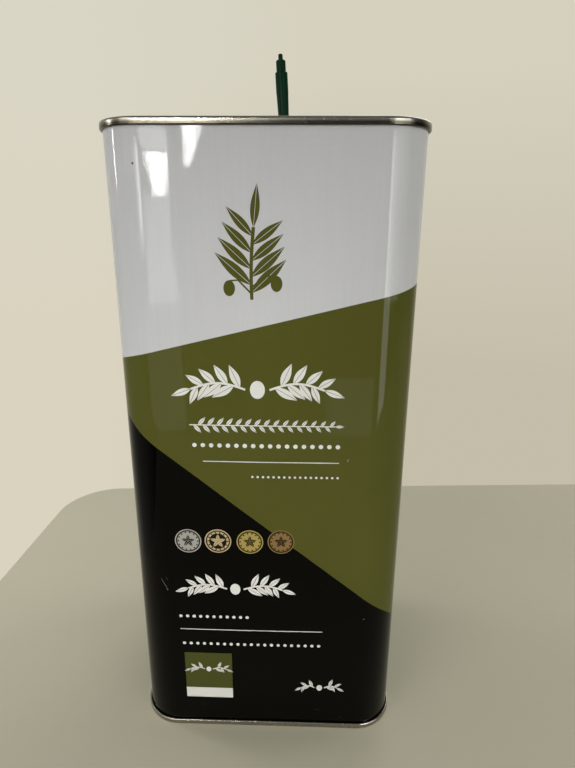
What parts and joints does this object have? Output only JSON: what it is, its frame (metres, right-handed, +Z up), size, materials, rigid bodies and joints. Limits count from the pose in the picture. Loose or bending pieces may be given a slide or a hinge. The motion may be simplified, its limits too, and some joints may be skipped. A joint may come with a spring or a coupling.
{
  "type": "five litre oil tin with flip-up spout",
  "caption": "Tall rounded rectangular tinplate oil tin with double seamed ends, a pressed-in threaded neck and a screw cap with a flip-up pouring spout.",
  "frame": {"origin": "middle of the base on the surface the tin stands on", "axes": "+Z up, the printed front faces -Y, +X to the right as seen from the front"},
  "size_m": [0.1456, 0.1206, 0.3588],
  "materials": {
    "printed_tinplate": "gloss lithographed print",
    "bare_tinplate": "satin tinned",
    "seam_rubber": "matt",
    "neck_plastic": "natural polyethylene",
    "green_plastic": "soft gloss",
    "liner_plastic": "foamed liner"
  },
  "bodies": {
    "tin": {"tin_body": "printed_tinplate", "top_end": "bare_tinplate", "bottom_end": "bare_tinplate", "top_seam_compound": "seam_rubber", "bottom_seam_compound": "seam_rubber", "screw_neck": "neck_plastic", "neck_gasket": "seam_rubber", "tamper_ring": "green_plastic"},
    "liner": {"cap_liner": "liner_plastic"},
    "cap": {"screw_cap": "green_plastic"},
    "spout": {"flip_spout": "green_plastic"}
  },
  "joints": [
    {"name": "cap_lift", "type": "slide", "parent": "tin", "child": "liner", "axis": [0, 0, 1], "range_m": [0, 0.0024]},
    {"name": "cap_turn", "type": "hinge", "parent": "liner", "child": "cap", "pos_m": [0, 0, 0.3229], "axis": [0, 0, 1], "range_deg": [0, 360]},
    {"name": "spout_flip", "type": "hinge", "parent": "cap", "child": "spout", "pos_m": [0.007, 0, 0.3272], "axis": [0, -1, 0], "range_deg": [-3.5, 80.5]}
  ],
  "couplings": [
    {"joint": "cap_lift", "follows": "cap_turn", "m_per_rad": 0.00038197}
  ]
}
